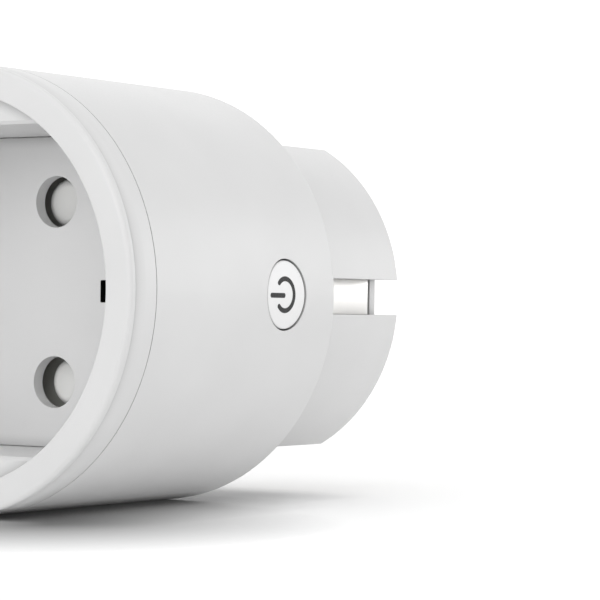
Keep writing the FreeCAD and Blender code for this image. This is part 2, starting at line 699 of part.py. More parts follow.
def powerButton():
    """Round cap with a face that follows the body, neck, retaining bar and stem."""
    body = newBody("power_button")

    def disc(radius):
        return lambda sketch: circle(sketch, "buttonY", "0", radius)

    extrude(body, "Pad", "Stem", "X", "plungerTop", "stemEnd", disc("stemRadius"))
    extrude(body, "Pad", "RetainingBar", "X", "barInner", "barOuter",
            lambda sketch: rectangle(sketch, "buttonY - barHalf", "buttonY + barHalf",
                                     "-barReach", "barReach"))
    extrude(body, "Pad", "Neck", "X", "barOuter - sink", "capInner + sink", disc("neckRadius"))
    extrude(body, "Pad", "Cap", "X", "capInner", "bodyRadius", disc("buttonRadius"))

    def outsideFace(sketch):
        circle(sketch, "0", "0", "bodyRadius + past")
        circle(sketch, "0", "0", "bodyRadius - buttonSink")

    extrude(body, "Pocket", "FaceCurve", "Y", "buttonY - buttonRadius - past",
            "buttonY + buttonRadius + past", outsideFace)

    def rim(edge):
        return edge.BoundBox.XMin > value("bodyRadius - buttonSink") - 0.5 and edge.Length > 5

    dress(body, "Fillet", "CapRound", "capRound", rim)
    return body


def tactSwitch():
    """Square push switch on the control board, open for its plunger."""
    top = "controlFace + switchHigh"
    along = ("buttonY - switchHalf", "buttonY + switchHalf")
    case = block("tactCase", ("controlFace", top), along, ("-switchHalf", "switchHalf"))
    bore = rod("tactBore", "X", ("buttonY", "0"), "plungerRadius + plungerFit",
               f"{top} - plungerBore", f"{top} + past")
    return cut("tact_switch", case, [bore])


def tactPlunger():
    along = ("plungerTop - plungerLong", "plungerTop")
    return rod("tact_plunger", "X", ("buttonY", "0"), "plungerRadius", *along)


# ---- safety shutter --------------------------------------------------------------------

def safetyShutter():
    """Rotating shutter on the centre post: two low arms with a domed pad in front of each contact."""
    body = newBody("safety_shutter")
    extrude(body, "Pad", "Hub", "Y", "shutterFront", "shutterBack",
            lambda sketch: circle(sketch, "0", "0", "shutterHub"))
    extrude(body, "Pad", "Arms", "Y", "shutterFront + armSink", "shutterBack - armSink / 3",
            lambda sketch: rectangle(sketch, "-armHalf", "armHalf", "-pinHigh", "pinHigh"))

    def pads(sketch):
        for side in ("", "-"):
            circle(sketch, "0", f"{side}pinHigh", "padRadius")

    extrude(body, "Pad", "Pads", "Y", "shutterFront", "shutterBack - armSink / 3", pads)

    def padEdge(edge):
        rim = atY(edge, "shutterFront") and abs(edge.Length - 2 * math.pi * value("padRadius")) < 1e-3
        return rim and abs(edge.BoundBox.Center.z) > 1

    dress(body, "Fillet", "PadDomes", "padRound", padEdge)
    extrude(body, "Pocket", "PivotBore", "Y", "shutterFront - past", "shutterBack + past",
            lambda sketch: circle(sketch, "0", "0", "pivotRadius + pivotFit"))
    extrude(body, "Pocket", "SpringPocket", "Y", "shutterBack - springPocket", "shutterBack + past",
            lambda sketch: circle(sketch, "0", "0", "coilRadius + coilWire + springRoom"))
    body.Placement = FreeCAD.Placement(FreeCAD.Vector(), FreeCAD.Rotation(FreeCAD.Vector(0, 1, 0), 1))
    body.setExpression("Placement.Rotation.Angle", link("-shutterTilt"))
    return body


def shutterSpring():
    """Torsion spring round the post, with one leg in the shutter and one toward the carrier."""
    body = newBody("shutter_spring")
    start = "(shutterBack - springSink)"
    sketch = newSketch(body, "WireSketch", "XY_Plane")
    circle(sketch, "coilRadius", start, "coilWire / 2")
    coil = body.newObject("PartDesign::AdditiveHelix", "Coil")
    coil.Profile = sketch
    coil.ReferenceAxis = (sketch, ["V_Axis"])
    coil.Mode = 0
    coil.setExpression("Pitch", link("coilPitch"))
    coil.setExpression("Height", link("coilPitch * coilTurns"))
    body.Tip = coil
    doc.recompute()
    behind = "shutterBack + coilWire * 0.6"
    for name, y, reach in (("InnerLeg", start, "innerLeg"), ("OuterLeg", behind, "outerLeg")):
        extrude(body, "Pad", name, "X", "coilRadius", reach,
                lambda leg, y=y: circle(leg, y, "0", "coilWire / 2"))
    return body


# ---- contacts and earth path -----------------------------------------------------------

def contactCarrier():
    """Plate behind the shutter with two open boxes that hold the line contacts."""
    body = newBody("contact_carrier")
    extrude(body, "Pad", "Plate", "Y", "carrierFront", "carrierBack",
            lambda sketch: circle(sketch, "0", "0", "carrierRadius"))

    def walls(sketch):
        inside = "(boxHigh - boxOuter + boxInner)"
        for side in ("", "-"):
            low, high, web = f"{side}boxLow", f"{side}boxHigh", f"{side}{inside}"
            polygon(sketch, [
                ("boxInner", low), ("boxOuter", low), ("boxOuter", high), ("-boxOuter", high),
                ("-boxOuter", low), ("-boxInner", low), ("-boxInner", web), ("boxInner", web),
            ])

    extrude(body, "Pad", "ContactBoxes", "Y", "carrierBack - sink", "carrierBack + boxDepth", walls)

    def openings(sketch):
        for side in ("", "-"):
            circle(sketch, "0", f"{side}pinHigh", "holeRadius + carrierHole")
            rectangle(sketch, f"{side}slotInner", f"{side}(carrierRadius + past)",
                      "-fingerHalf - fingerRoom", "fingerHalf + fingerRoom")
            circle(sketch, f"{side}screwSide", f"{side}screwHeight", "screwCore + screwFit")

    extrude(body, "Pocket", "Openings", "Y", "carrierFront - past", "carrierBack + sink", openings)
    return body


def lineContact(name, side):
    """Sprung fork for one pin: two leaves, a web and a solder leg."""
    body = newBody(name)

    low, web, high = f"{side}forkLow", f"{side}forkWeb", f"{side}forkHigh"

    def fork(sketch):
        polygon(sketch, [
            ("forkInner", low), ("forkOuter", low), ("forkOuter", high), ("-forkOuter", high),
            ("-forkOuter", low), ("-forkInner", low), ("-forkInner", web), ("forkInner", web),
        ])

    extrude(body, "Pad", "Fork", "Y", "carrierBack", "carrierBack + forkDepth", fork)
    extrude(body, "Pad", "Leg", "Y", "carrierBack + forkDepth - sink", "boardBack + legEnd",
            lambda sketch: rectangle(sketch, "-legHalf", "legHalf", web, high))
    return body


def earthClip(name, side):
    """Earth spring finger: runs forward in its wall slot and bulges into the well."""
    body = newBody(name)
    path = [
        ("clipOuter", "carrierBack"),
        ("clipOuter", "floorFront - clipBend"),
        ("fingerNose + noseThick", "front + fingerNoseDepth"),
        ("clipTip", "front + fingerNoseDepth - clipTipDepth"),
    ]
    if side:
        path = [(f"{side}({x})", y) for x, y in path]
    thickness = "fingerThick"

    def draw(sketch):
        ribbon(sketch, path if not side else list(reversed(path)), thickness)

    extrude(body, "Pad", "Finger", "Z", "-fingerHalf", "fingerHalf", draw)

    def bend(edge):
        spot = edge.valueAt(edge.FirstParameter)
        level = edge.BoundBox.ZLength > 1
        return level and abs(spot.y - value("front + fingerNoseDepth")) < 0.5

    dress(body, "Fillet", "Nose", "noseRound", bend)
    return body


def earthBridge():
    """Half ring behind the carrier that joins the two spring fingers."""
    body = newBody("earth_bridge")
    revolve(body, "HalfRing", [
        ("carrierBack", "-bridgeOuter"), ("bridgeBack", "-bridgeOuter"),
        ("bridgeBack", "-bridgeInner"), ("carrierBack", "-bridgeInner"),
    ], role="YZ_Plane", axis="H_Axis", angle="bridgeAngle", middle=True)
    return body


def earthRing():
    """Flat ring against the shoulder wall that joins the two boss strips."""
    outer = rod("ringOuter", "Y", ("0", "0"), "shellInner - ringGap", "ringFront", "shellEnd")
    hole = "grooveFloor - stripThick - ringLap"
    inner = rod("ringInner", "Y", ("0", "0"), hole, "ringFront - past", "shellEnd + past")
    along = ("ringFront - past", "shellEnd + past")
    across = ("controlBoardX - railWall - railFit", "controlFace + railWall + railFit")
    notches = []
    for index, side in enumerate(("", "-")):
        ends = sorted((f"{side}(railLow - railFit)", f"{side}(railHigh + railFit)"), key=value)
        notches.append(block(f"ringNotch{index}", across, along, ends))
    return cut("earth_ring", outer, [inner] + notches)


def earthLink():
    """Bar along the shell from the bridge to the ring."""
    across = ("-clipOuter", "stripThick - clipOuter")
    return block("earth_link", across, ("bridgeBack", "ringFront"), ("-linkHalf", "linkHalf"))


def earthStrip(name, side):
    """Contact strip in a side groove of the boss."""
    body = newBody(name)
    extrude(body, "Pad", "Strip", "Y", "shellEnd", "-stripEnd",
            lambda sketch: rectangle(sketch, f"{side}(grooveFloor - stripThick)", f"{side}grooveFloor",
                                     "-stripHalf", "stripHalf"))

    def end(edge):
        outside = abs(abs(edge.BoundBox.XMin) - value("grooveFloor")) < 1e-4
        return outside and edge.BoundBox.XLength < 1e-4 and atY(edge, "-stripEnd")

    dress(body, "Fillet", "StripRound", "stripRound", end)
    return body


def earthSleeve():
    """Split sleeve behind the earth pin hole, with a solder leg."""
    centre = ("-earthOffset", "0")
    tube = rod("sleeveTube", "Y", centre, "earthRadius + sleeveWall", "-sleeveEnd", "-bossEndWall")
    bore = rod("sleeveBore", "Y", centre, "earthRadius", "-sleeveEnd - past", "0")
    across = ("-earthOffset - sleeveHalf", "sleeveHalf - earthOffset")
    split = block("sleeveSplit", across, ("-sleeveEnd - past", "past - bossEndWall"),
                  ("-earthRadius - past", "past - earthRadius"))
    leg = block("sleeveLeg", across, ("boardFront - sleeveLegEnd", "sleeveHalf - sleeveEnd"),
                ("sleeveLegLow", "sleeveLegHigh"))
    return union("earth_sleeve", [cut("sleeveBody", tube, [bore, split]), leg])


def plugPin(name, side):
    """Solid round pin with a domed tip, a flange behind the end wall and a solder tail."""
    body = newBody(name)
    revolve(body, "PinTurn", [
        ("0", "boardFront - tailEnd"),
        ("pinTail", "boardFront - tailEnd"),
        ("pinTail", "-bossEndWall - flangeThick"),
        ("pinFlange", "-bossEndWall - flangeThick"),
        ("pinFlange", "-bossEndWall"),
        ("pinShank", "-bossEndWall"),
        ("pinShank", "0"),
        ("pinRadius", "0"),
        ("pinRadius", "pinLength"),
        ("0", "pinLength"),
    ])
    dress(body, "Fillet", "Tip", "tipRound", roundEdge("pinRadius", "pinLength"))
    body.setExpression("Placement.Base.z", link(f"{side}pinHigh"))
    return body


def busbar(name, side):
    """Flat bar under the power board from a pin tail to its contact leg."""
    ends = sorted((f"{side}busLow", f"{side}busHigh"), key=value)
    bar = block(name + "Flat", ("-busHalf", "busHalf"), ("boardBack", "boardBack + busThick"), ends)
    centre = ("0", f"{side}pinHigh")
    hole = rod(name + "Hole", "Y", centre, "pinTail + seatFit", "boardBack - past", "boardBack + past")
    return cut(name, bar, [hole])


# ---- electronics -----------------------------------------------------------------------

def powerBoard():
    """Round board in the boss cavity, with flats, side notches and its holes."""
    disc = rod("powerDisc", "Y", ("0", "0"), "bossInner - boardEdge", "boardFront", "boardBack")
    through = ("boardFront - past", "boardBack + past")
    tools = []
    for mark, side in (("Up", ""), ("Down", "-")):
        flat = sorted((f"{side}boardFlat", f"{side}bossInner"), key=value)
        tools.append(block("powerFlat" + mark, ("-bossInner", "bossInner"), through, flat))
        notch = sorted((f"{side}boardNotch", f"{side}bossInner"), key=value)
        tools.append(block("powerNotch" + mark, notch, through, ("-notchHalf", "notchHalf")))
        tools.append(rod("powerTail" + mark, "Y", ("0", f"{side}pinHigh"), "pinTail + railFit", *through))
        leg = sorted((f"{side}(forkWeb - legRoom)", f"{side}(forkHigh + legRoom)"), key=value)
        tools.append(block("powerLeg" + mark, ("-legHalf - legRoom", "legHalf + legRoom"), through, leg))
        post = (f"{side}postSide", f"{side}postHeight")
        tools.append(rod("powerScrew" + mark, "Y", post, "screwCore + screwFit", *through))
    across = ("-earthOffset - earthSlotHalf", "earthSlotHalf - earthOffset")
    tools.append(block("powerEarth", across, through, ("earthSlotLow", "earthSlotHigh")))
    return cut("power_board", disc, tools)


def controlBoard():
    along = ("carrierBack + railFit", "ringFront - boardSetback")
    return block("control_board", ("controlBoardX", "controlFace"), along, ("-controlHalf", "controlHalf"))


def boardHeader():
    along = ("ringFront - boardSetback", "boardFront")
    return block("board_header", ("controlFace - headerThick", "controlFace"), along,
                 ("-headerHalf", "headerHalf"))


def relay():
    case = block("relayCase", ("-relayWide", "relayWide"), ("carrierBack + relayFront", "boardFront"),
                 ("-relayHigh", "relayHigh"))
    return softened("relay", case, "relayRound")


def wifiBoard():
    along = ("carrierBack + wifiFront", "ringFront - wifiBack")
    across = ("controlBoardX - wifiThick", "controlBoardX")
    return block("wifi_board", across, along, ("-wifiHalf", "wifiHalf"))


def wifiShield():
    along = ("carrierBack + shieldFront", "ringFront - shieldBack")
    across = ("controlBoardX - wifiThick - shieldHigh", "controlBoardX - wifiThick")
    can = block("shieldCan", across, along, ("shieldLow", "shieldTop"))
    return softened("wifi_shield", can, "shieldRound")


def statusLeds():
    along = ("buttonY + ledFront", "buttonY + ledBack")
    lights = [
        block(f"led{mark}", ("controlFace", "controlFace + ledHigh"), along, span)
        for mark, span in (("Left", ("-ledOuter", "-ledInner")), ("Right", ("ledInner", "ledOuter")))
    ]
    return group("status_leds", lights)


def supplyTransformer():
    core = block("transformerCore", ("coreLeft", "coreRight"), ("coreFront", "coreBack"),
                 ("-coreHalf", "coreHalf"))
    bobbin = block("transformerBobbin", ("coreLeft + bobbinInset", "coreRight - bobbinInset"),
                   ("boardBack", "bobbinBack"), ("-bobbinHalf", "bobbinHalf"))
    return union("supply_transformer", [core, bobbin])


def bulkCapacitors():
    along = ("boardBack", "boardBack + capacitorLong")
    cans = [
        rod("capacitorRight", "Y", ("capacitorSide", "-capacitorHeight"), "capacitorRadius", *along),
        rod("capacitorLeft", "Y", ("-capacitorSide", "capacitorHeight"), "capacitorRadius", *along),
    ]
    return group("bulk_capacitors", cans)


def inductor():
    """Drum core choke: two flanges and the winding between them."""
    centre = ("chokeSide", "chokeHeight")
    low, high = "boardBack + chokeFlange", "boardBack + chokeLong - chokeFlange"
    return union("inductor", [
        rod("drumLow", "Y", centre, "chokeRadius", "boardBack", low),
        rod("drumWinding", "Y", centre, "windingRadius", low, high),
        rod("drumHigh", "Y", centre, "chokeRadius", high, "boardBack + chokeLong"),
    ])


def fusibleResistor():
    return rod("fusible_resistor", "Y", ("resistorSide", "resistorHeight"), "resistorRadius",
               "boardBack", "boardBack + resistorLong")


def varistor():
    return rod("varistor", "X", ("boardBack + varistorBack", "0"), "varistorRadius",
               "varistorLeft", "varistorRight")


def rectifier():
    return block("rectifier", ("chipLeft", "rectifierRight"), ("boardFront - rectifierHigh", "boardFront"),
                 ("rectifierLow", "rectifierTop"))


def meteringChip():
    return block("metering_chip", ("chipLeft", "chipRight"), ("boardFront - chipHigh", "boardFront"),
                 ("chipLow", "chipTop"))


def screws(name, places, seat, length):
    """Pan head screws along Y with a cross recess; the head stands forward or back of its seat."""
    head, tip = seat
    low, high = sorted((head, tip), key=value)
    inward = value(head) < value(tip)
    reach = (high, f"({high}) + {length}") if inward else (f"({low}) - {length}", low)
    recess = (f"({head}) - recessDepth", f"({head}) + recessDepth")
    items = []
    for index, (x, z) in enumerate(places):
        tag = f"{name}{index}"
        top = rod(tag + "Head", "Y", (x, z), "headRadius", low, high)
        shank = rod(tag + "Shank", "Y", (x, z), "screwCore", *reach)
        flat = [(f"{x} - recessReach", f"{x} + recessReach"), (f"{z} - recessHalf", f"{z} + recessHalf")]
        tall = [(f"{x} - recessHalf", f"{x} + recessHalf"), (f"{z} - recessReach", f"{z} + recessReach")]
        bars = [block(tag + mark, xs, recess, zs) for mark, (xs, zs) in (("Flat", flat), ("Tall", tall))]
        items.append(cut(tag, union(tag + "Blank", [top, shank]), bars))
    return group(name, items)


def carrierScrews():
    places = [("screwSide", "screwHeight"), ("-screwSide", "-screwHeight")]
    return screws("carrier_screws", places, ("carrierBack + headHigh", "carrierBack"), "carrierScrew")


def boardScrews():
    places = [("postSide", "postHeight"), ("-postSide", "-postHeight")]
    return screws("board_screws", places, ("boardFront - headHigh", "boardFront"), "boardScrew")


nodes = [
    frontCover(),
    socketFloor(),
    mainHousing(),
    rearBase(),
    powerButton(),
    tactSwitch(),
    tactPlunger(),
    safetyShutter(),
    shutterSpring(),
    contactCarrier(),
    lineContact("live_contact", ""),
    lineContact("neutral_contact", "-"),
    earthClip("earth_clip_right", ""),
    earthClip("earth_clip_left", "-"),
    earthBridge(),
    earthRing(),
    earthLink(),
    earthStrip("earth_strip_right", ""),
    earthStrip("earth_strip_left", "-"),
    earthSleeve(),
    plugPin("live_pin", ""),
    plugPin("neutral_pin", "-"),
    busbar("live_busbar", ""),
    busbar("neutral_busbar", "-"),
    powerBoard(),
    controlBoard(),
    boardHeader(),
    relay(),
    wifiBoard(),
    wifiShield(),
    statusLeds(),
    supplyTransformer(),
    bulkCapacitors(),
    inductor(),
    fusibleResistor(),
    varistor(),
    rectifier(),
    meteringChip(),
    carrierScrews(),
    boardScrews(),
]
doc.recompute()

for item in doc.Objects:
    if any(state in ("Invalid", "Error") for state in item.State):
        raise ValueError(f"{item.Label} failed: {item.State}")
for node in nodes:
    if node.Shape.isNull() or not node.Shape.isValid():
        raise ValueError(f"{node.Label} has no valid shape")

os.makedirs("parts", exist_ok=True)
for node in nodes:
    node.Shape.exportStep(os.path.join("parts", node.Label + ".step"))
    print(f"{node.Label:20s} solids {len(node.Shape.Solids)}  volume {node.Shape.Volume:9.2f} mm3")
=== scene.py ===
import json
import math

import bmesh
import bpy
from mathutils import Matrix, Vector


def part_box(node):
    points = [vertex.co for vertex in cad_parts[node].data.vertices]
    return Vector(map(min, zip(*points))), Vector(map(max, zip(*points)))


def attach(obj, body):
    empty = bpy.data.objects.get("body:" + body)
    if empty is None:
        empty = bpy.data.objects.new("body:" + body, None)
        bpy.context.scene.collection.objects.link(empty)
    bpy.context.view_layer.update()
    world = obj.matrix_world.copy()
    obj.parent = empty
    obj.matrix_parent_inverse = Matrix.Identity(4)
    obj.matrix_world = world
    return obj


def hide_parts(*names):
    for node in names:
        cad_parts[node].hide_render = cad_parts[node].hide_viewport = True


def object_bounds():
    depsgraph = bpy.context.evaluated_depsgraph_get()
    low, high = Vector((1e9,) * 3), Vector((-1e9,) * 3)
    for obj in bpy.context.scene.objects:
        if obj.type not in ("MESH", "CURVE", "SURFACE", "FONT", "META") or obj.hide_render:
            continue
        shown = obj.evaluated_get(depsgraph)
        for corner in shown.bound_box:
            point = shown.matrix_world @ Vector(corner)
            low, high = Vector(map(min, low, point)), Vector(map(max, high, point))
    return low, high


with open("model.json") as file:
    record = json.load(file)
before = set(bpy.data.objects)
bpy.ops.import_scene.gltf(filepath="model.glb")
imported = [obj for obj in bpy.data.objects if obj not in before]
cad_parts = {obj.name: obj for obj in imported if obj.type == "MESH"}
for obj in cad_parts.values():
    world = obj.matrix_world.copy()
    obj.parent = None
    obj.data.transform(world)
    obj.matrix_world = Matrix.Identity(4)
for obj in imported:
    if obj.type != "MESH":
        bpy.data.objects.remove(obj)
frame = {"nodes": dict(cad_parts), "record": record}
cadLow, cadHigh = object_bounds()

# Round white pass-through smart plug lying on its side on white paper, socket well towards the left.
# Everything is in metres; sizes that a person would change are in millimetres, times mm.
mm = 0.001
print("smart plug: frame loaded,", len(frame["nodes"]), "parts")


# ---- materials ----

def linear(hexColour):
    # sRGB hex text to the linear RGBA that the shaders want
    values = [int(hexColour[i:i + 2], 16) / 255 for i in (1, 3, 5)]
    return [v / 12.92 if v <= 0.04045 else ((v + 0.055) / 1.055) ** 2.4 for v in values] + [1.0]


def addNode(tree, kind, values=None, links=None, **settings):
    # one node with its settings, the values of its sockets and the links into them
    node = tree.nodes.new(kind)
    for key, value in settings.items():
        setattr(node, key, value)
    for socket, value in (values or {}).items():
        node.inputs[socket].default_value = value
    for socket, source in (links or {}).items():
        tree.links.new(source, node.inputs[socket])
    return node


def calculate(tree, operation, first, second=None):
    # one Math node; numbers become values and sockets become links
    values = {k: v for k, v in enumerate((first, second)) if isinstance(v, (int, float))}
    links = {k: v for k, v in enumerate((first, second)) if v is not None and k not in values}
    return addNode(tree, "ShaderNodeMath", values, links, operation=operation).outputs["Value"]


def newMaterial(name):
    material = bpy.data.materials.new(name)
    material.use_nodes = True
    tree = material.node_tree
    return material, tree, tree.nodes["Principled BSDF"]


def grain(tree, size, detail=2.0, stretch=(1, 1, 1), roughness=0.5):
    # noise whose lumps are about `size` millimetres across, in object space
    where = addNode(tree, "ShaderNodeTexCoord")
    mapping = addNode(tree, "ShaderNodeMapping", {"Scale": [k / (size * mm) for k in stretch]},
                      {"Vector": where.outputs["Object"]})
    return addNode(tree, "ShaderNodeTexNoise", {"Scale": 1.0, "Detail": detail, "Roughness": roughness},
                   {"Vector": mapping.outputs["Vector"]})


def spread(tree, source, low, high, start=0.3, end=0.7):
    # maps a 0 to 1 value onto low to high
    return addNode(tree, "ShaderNodeMapRange",
                   {"From Min": start, "From Max": end, "To Min": low, "To Max": high},
                   {"Value": source}).outputs["Result"]


def mixed(tree, factor, first, second):
    # colour between two hex colours
    return addNode(tree, "ShaderNodeMix", {6: linear(first), 7: linear(second)}, {0: factor},
                   data_type="RGBA").outputs[2]


def bump(tree, shader, height, distance, edge=0.0):
    # distance is the real height of the texture, edge the radius that sharp edges seem to have, millimetres
    links = {"Height": height}
    if edge:
        softened = addNode(tree, "ShaderNodeBevel", {"Radius": edge * mm}, samples=6)
        links["Normal"] = softened.outputs["Normal"]
    node = addNode(tree, "ShaderNodeBump", {"Strength": 1.0, "Distance": distance * mm}, links)
    tree.links.new(node.outputs["Normal"], shader.inputs["Normal"])


plasticLooks = {
    # name: light colour, dark colour, low and high roughness, grain mm, bump mm, IOR, soft edge mm
    # white ABS from a spark-eroded mould: a fine satin that breaks every reflection up
    "ABS spark-eroded white": ("#dadada", "#d7d7d7", 0.28, 0.38, 0.22, 0.003, 1.53, 0.10),
    # the socket insert is a separate moulding; it is coloured a shade lighter as painted light that
    # brightens the floor of the well
    "ABS socket insert painted lighter": ("#e2e2e2", "#dfdfdf", 0.40, 0.50, 0.22, 0.003, 1.53, 0.10),
    # the cap comes from a smoother mould, so it is a shade brighter and glossier
    "ABS smooth white": ("#eaeaea", "#e8e8e8", 0.28, 0.32, 0.8, 0.0003, 1.53, 0.14),
    # natural polyamide is a little grey and waxy; the shutter's colour is set near-white, painted light for
    # a part that sits deep behind the socket holes
    "polyamide shutter painted lighter": ("#f1f1ef", "#e9e9e7", 0.34, 0.44, 0.6, 0.002, 1.53, 0.12),
    # glass fibre shows as fine streaks in the carrier
    "polyamide glass-filled grey": ("#cfcfca", "#bdbdb7", 0.45, 0.60, 0.35, 0.006, 1.54, 0.12),
    # moulded epoxy and phenolic cases of the small parts, dull black
    "epoxy moulded black": ("#1d1d1f", "#141416", 0.40, 0.58, 0.25, 0.004, 1.55, 0.0),
    # pad-printed ink is thin, flat black and a little uneven
    "ink pad-printed black": ("#1e1e1e", "#121212", 0.45, 0.65, 0.18, 0.003, 1.5, 0.0),
    # acetal is slippery and catches a soft highlight
    "acetal moulded black": ("#222224", "#1a1a1c", 0.26, 0.36, 0.6, 0.001, 1.48, 0.0),
    # the relay's case is glossy blue polybutylene
    "polybutylene relay blue": ("#2a4f9e", "#234489", 0.16, 0.26, 1.2, 0.001, 1.55, 0.0),
    # shrink sleeve on the capacitors, thin and shiny with flow marks
    "PVC shrink sleeve": ("#20223a", "#171930", 0.14, 0.26, 1.0, 0.006, 1.53, 0.0),
    # flameproof coating is chalky and slightly uneven
    "resistor cement coating": ("#6c9a80", "#5d8a70", 0.55, 0.75, 0.3, 0.012, 1.5, 0.0),
    # dipped epoxy pulls into soft lumps
    "epoxy dipped blue": ("#2c4f9d", "#244389", 0.12, 0.22, 1.6, 0.03, 1.55, 0.0),
}


# painted shade in the grooves and gaps of the white mouldings, mixed into their colour
paintedCreviceShade = {"reach": 1.3, "depth": 0.55}  # millimetres, and how dark the narrowest gap gets


def withPaintedCreviceShade(tree, colour):
    # painted shade: ambient occlusion darkens the mouldings' colour in their grooves and gaps
    near = addNode(tree, "ShaderNodeAmbientOcclusion", {"Distance": paintedCreviceShade["reach"] * mm}, samples=8)
    shade = spread(tree, near.outputs["AO"], 1 - paintedCreviceShade["depth"], 1.0, 0.0, 1.0)
    return addNode(tree, "ShaderNodeMix", {0: 1.0}, {6: colour, 7: shade},
                   data_type="RGBA", blend_type="MULTIPLY").outputs[2]


def plastic(name):
    light, dark, lowRough, highRough, size, depth, ior, edge = plasticLooks[name]
    material, tree, shader = newMaterial(name)
    fine = grain(tree, size)
    broad = grain(tree, 9.0, 1.0)  # slow drift of the moulding's colour
    tint = mixed(tree, spread(tree, broad.outputs[0], 0.0, 1.0), light, dark)
    # a soft edge also brings painted shade into grooves and gaps
    if edge:
        tint = withPaintedCreviceShade(tree, tint)
    tree.links.new(tint, shader.inputs["Base Color"])
    tree.links.new(spread(tree, fine.outputs[0], lowRough, highRough), shader.inputs["Roughness"])
    shader.inputs["IOR"].default_value = ior
    bump(tree, shader, fine.outputs[0], depth, edge)
    return material


metalLooks = {
    # name: light colour, dark colour, low and high roughness, grain mm, stretch, bump mm
    # bright nickel over turned brass: warm grey, with fine turning rings round the pin
    "nickel-plated brass": ("#d8d4cc", "#c6c2ba", 0.12, 0.22, 0.25, (0.05, 1, 0.05), 0.002),
    # the spring fingers are coloured near-black: painted shade for the shadowed slot they sit in; such
    # fingers are bright metal
    "spring steel painted near-black": ("#1b1b1a", "#121211", 0.28, 0.40, 0.3, (1, 0.06, 1), 0.003),
    # rolled strip with lengthwise lines, nickel plated
    "nickel-plated steel strip": ("#eeedeb", "#e9e8e6", 0.30, 0.35, 0.3, (1, 0.06, 1), 0.001),
    # stamped brass dulls where it was handled
    "brass stamped": ("#d3aa5c", "#b98f47", 0.24, 0.42, 0.6, (1, 0.2, 1), 0.003),
    # tinned sheet with a cloudy bloom
    "tin-plated steel": ("#cfd0d0", "#b5b6b7", 0.28, 0.46, 2.2, (1, 1, 1), 0.003),
    # drawn wire, its grain finer than a millimetre
    "spring steel wire": ("#b4b4b3", "#969695", 0.26, 0.40, 0.2, (1, 1, 1), 0.002),
    # zinc has a faint blue and yellow cast
    "zinc-plated steel": ("#c5c8cc", "#b9b49f", 0.26, 0.44, 0.8, (1, 1, 1), 0.003),
}


def metal(name):
    light, dark, lowRough, highRough, size, stretch, depth = metalLooks[name]
    material, tree, shader = newMaterial(name)
    lines = grain(tree, size, 3.0, stretch)
    cloud = grain(tree, 4.0, 2.0)
    tint = mixed(tree, spread(tree, cloud.outputs[0], 0.0, 1.0), light, dark)
    tree.links.new(tint, shader.inputs["Base Color"])
    tree.links.new(spread(tree, lines.outputs[0], lowRough, highRough), shader.inputs["Roughness"])
    shader.inputs["Metallic"].default_value = 1.0
    tree.links.new(tint, shader.inputs["Specular Tint"])  # a dark colour, such as the fingers' painted shade, stays dark at a glancing angle
    bump(tree, shader, lines.outputs[0], depth)
    return material


def circuitBoard():
    # glass-epoxy board under green solder mask: copper tracks show as paler, raised lines
    name = "FR4 green solder mask"
    material, tree, shader = newMaterial(name)
    where = addNode(tree, "ShaderNodeTexCoord")
    mapping = addNode(tree, "ShaderNodeMapping", {"Scale": [1 / (2.4 * mm)] * 3},
                      {"Vector": where.outputs["Object"]})
    cells = addNode(tree, "ShaderNodeTexVoronoi", {"Scale": 1.0}, {"Vector": mapping.outputs["Vector"]},
                    distance="CHEBYCHEV")
    tracks = spread(tree, cells.outputs["Distance"], 1.0, 0.0, 0.36, 0.42)
    weave = grain(tree, 0.35)
    tree.links.new(mixed(tree, tracks, "#17512c", "#2c7a45"), shader.inputs["Base Color"])
    tree.links.new(spread(tree, weave.outputs[0], 0.22, 0.36), shader.inputs["Roughness"])
    bump(tree, shader, tracks, 0.03)
    return material


def ledLens():
    # clear epoxy lens: see-through with a faint blue cast and a little uneven frosting
    material, tree, shader = newMaterial("epoxy clear lens")
    fine = grain(tree, 0.3)
    tree.links.new(mixed(tree, fine.outputs[0], "#dfe6f4", "#cfd9ee"), shader.inputs["Base Color"])
    tree.links.new(spread(tree, fine.outputs[0], 0.08, 0.22), shader.inputs["Roughness"])
    shader.inputs["Transmission Weight"].default_value = 0.6
    return material


paperLook = {
    "light": "#fbfbfb", "dark": "#f7f7f7",
    # painted contact shadow: ambient occlusion darkens the paper's colour close round the plug
    "reach": 9.0,  # millimetres, how far the plug darkens the paper round it
    "depth": 0.5,  # how fast that shadow deepens towards the contact
    "darkest": 0.25,  # what is left of the white at the contact
    "glow": 0.10,  # lifts the paper to the white of the room behind it
    # painted shadow: a soft oval of darker colour beside the socket end
    "paintedShadow": (13, -56), "paintedShadowSize": (28, 34), "paintedShadowDepth": 0.76,  # soft oval shade beside the socket end
}


